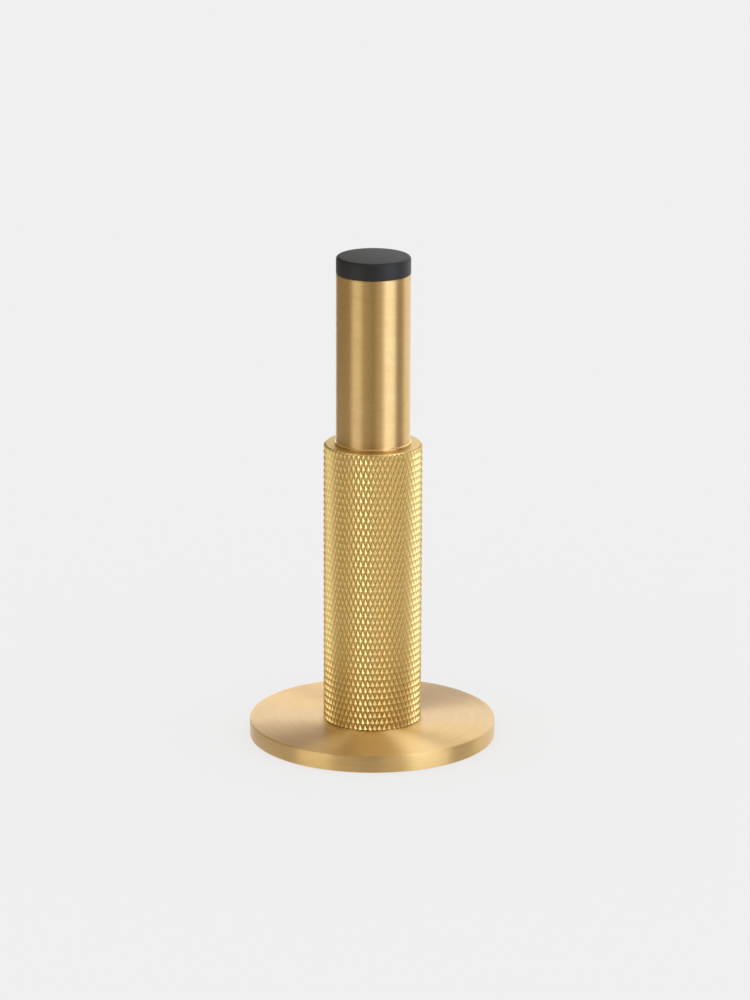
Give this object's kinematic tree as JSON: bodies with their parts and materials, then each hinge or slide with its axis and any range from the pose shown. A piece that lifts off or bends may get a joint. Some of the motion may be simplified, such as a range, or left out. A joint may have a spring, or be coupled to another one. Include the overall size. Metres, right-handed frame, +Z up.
{
  "type": "door stop",
  "caption": "Knurled brass door stop: a round base, a diamond-knurled sleeve, a plain stem and a rubber buffer on the end, with a concealed tapped fixing.",
  "frame": {"origin": "centre of the base plate's underside, on the surface that it stands on", "axes": "+Z up along the stem, from the base plate to the rubber buffer; X and Y are alike, because the part is turned"},
  "size_m": [0.05, 0.05, 0.1],
  "materials": {
    "satin_brass": "turned and satin brushed round the axis",
    "knurled_brass": "rolled diamond knurl, bright on the flanks",
    "black_rubber": "moulded, matt"
  },
  "bodies": {
    "root": {"base_plate": "satin_brass", "knurled_sleeve": "knurled_brass", "stem": "satin_brass", "rubber_buffer": "black_rubber"}
  },
  "joints": []
}
